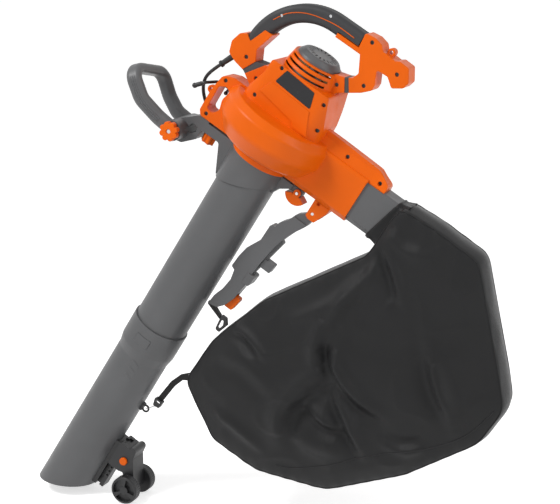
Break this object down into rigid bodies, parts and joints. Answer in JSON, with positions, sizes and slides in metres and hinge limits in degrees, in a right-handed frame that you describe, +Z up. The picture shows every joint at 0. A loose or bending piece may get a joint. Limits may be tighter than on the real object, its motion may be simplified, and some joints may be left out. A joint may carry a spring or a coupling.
{
  "type": "leaf blower vacuum",
  "caption": "Electric leaf blower vacuum and mulcher: two-piece suction tube with guide wheels, fan and motor casing, arched top grip, tilting front handle and a collection bag.",
  "frame": {"origin": "middle of the arched top grip, where the tool is held", "axes": "+Z up with the tool at its working lean of 32.5 degrees from upright, +X from the nozzle side towards the bag, +Y across the tool, away from the side with the knob and the screws"},
  "size_m": [1.0524, 0.24, 1.0622],
  "materials": {
    "orange_plastic": "moulded orange plastic, satin",
    "grey_plastic": "moulded dark grey plastic, satin",
    "black_plastic": "moulded black plastic",
    "dark_plate": "bare dark plate",
    "steel": "plated steel",
    "dark_steel": "black oxide",
    "laminations": "varnished electrical steel",
    "brass": "brass guides with carbon brushes",
    "soft_grip": "soft moulded grip",
    "damper_rubber": "grey rubber",
    "tyre": "black moulded wheel with ribbed tread",
    "bag_fabric": "coated woven nylon",
    "webbing": "woven webbing",
    "cord_rubber": "black rubber-sheathed lead"
  },
  "bodies": {
    "tool": {"housing_near": "orange_plastic", "housing_far": "orange_plastic", "motor_cap": "grey_plastic", "label_plate": "dark_plate", "dial_pin": "steel", "upper_bearing": "steel", "lower_bearing": "steel", "stator": "laminations", "brush_set": "brass", "handle_near": "orange_plastic", "handle_far": "orange_plastic", "grip_near": "soft_grip", "grip_far": "soft_grip", "front_damper": "damper_rubber", "rear_damper": "damper_rubber", "intake_frame": "grey_plastic", "latch_pin": "steel", "clamp_bolt": "steel", "upper_tube": "grey_plastic", "lower_tube": "grey_plastic", "strap_eye": "black_plastic", "wheel_rail": "black_plastic", "brace_bracket": "orange_plastic", "brace_pin": "steel", "brace_arm": "grey_plastic", "discharge_duct": "grey_plastic", "bag_collar": "bag_fabric", "bag": "bag_fabric", "upper_strap": "webbing", "upper_hook": "black_plastic", "lower_strap": "webbing", "strap_clip": "black_plastic", "wire_hook": "steel", "strain_relief": "cord_rubber", "mains_cord": "cord_rubber", "mains_plug": "cord_rubber", "shoulder_hook": "black_plastic", "casing_screws": "dark_steel", "handle_screws": "dark_steel", "grip_screws": "steel"},
    "rotor": {"armature": "laminations", "impeller": "black_plastic", "impeller_nut": "steel"},
    "dial": {"speed_dial": "black_plastic"},
    "latch": {"latch_hook": "orange_plastic"},
    "front_grip": {"front_handle": "grey_plastic", "front_handle_bolt": "steel"},
    "front_knob": {"front_handle_knob": "orange_plastic"},
    "frame_knob": {"clamp_knob": "orange_plastic"},
    "button": {"tube_button": "grey_plastic"},
    "carriage": {"wheel_carriage": "black_plastic", "wheel_axle": "steel"},
    "stop_button": {"height_button": "orange_plastic"},
    "near_wheel": {"wheel_near": "tyre"},
    "far_wheel": {"wheel_far": "tyre"},
    "catch": {"brace_latch": "orange_plastic"}
  },
  "joints": [
    {"name": "rotor_spin", "type": "hinge", "parent": "tool", "child": "rotor", "pos_m": [-0.07554, 0, -0.12973], "axis": [0.5373, 0, 0.8434], "continuous": true},
    {"name": "dial_turn", "type": "hinge", "parent": "tool", "child": "dial", "pos_m": [-0.11862, 0, -0.08569], "axis": [0, 1, 0], "range_deg": [0, 270]},
    {"name": "latch_swing", "type": "hinge", "parent": "tool", "child": "latch", "pos_m": [-0.08162, 0, -0.33098], "axis": [0, -1, 0], "range_deg": [0, 25]},
    {"name": "front_handle_tilt", "type": "hinge", "parent": "tool", "child": "front_grip", "pos_m": [-0.33236, 0, -0.21274], "axis": [0, 1, 0], "range_deg": [-70, 35]},
    {"name": "front_knob_turn", "type": "hinge", "parent": "front_grip", "child": "front_knob", "pos_m": [-0.33236, 0, -0.21274], "axis": [0, -1, 0], "range_deg": [-180, 180]},
    {"name": "frame_knob_turn", "type": "hinge", "parent": "tool", "child": "frame_knob", "pos_m": [-0.27454, 0, -0.23179], "axis": [0.5373, 0, 0.8434], "range_deg": [-180, 180]},
    {"name": "tube_button_press", "type": "slide", "parent": "tool", "child": "button", "axis": [0, 1, 0], "range_m": [0, 0.004], "stiffness_N_per_m": 1500},
    {"name": "wheel_height", "type": "slide", "parent": "tool", "child": "carriage", "axis": [0.5373, 0, 0.8434], "range_m": [-0.022, 0]},
    {"name": "stop_button_press", "type": "slide", "parent": "carriage", "child": "stop_button", "axis": [0, 1, 0], "range_m": [0, 0.004], "stiffness_N_per_m": 800},
    {"name": "near_wheel_roll", "type": "hinge", "parent": "carriage", "child": "near_wheel", "pos_m": [-0.47034, -0.035, -0.99513], "axis": [0, 1, 0], "continuous": true},
    {"name": "far_wheel_roll", "type": "hinge", "parent": "carriage", "child": "far_wheel", "pos_m": [-0.47034, 0.035, -0.99513], "axis": [0, 1, 0], "continuous": true},
    {"name": "catch_slide", "type": "slide", "parent": "tool", "child": "catch", "axis": [0.5373, 0, 0.8434], "range_m": [0, 0.005], "stiffness_N_per_m": 600}
  ]
}
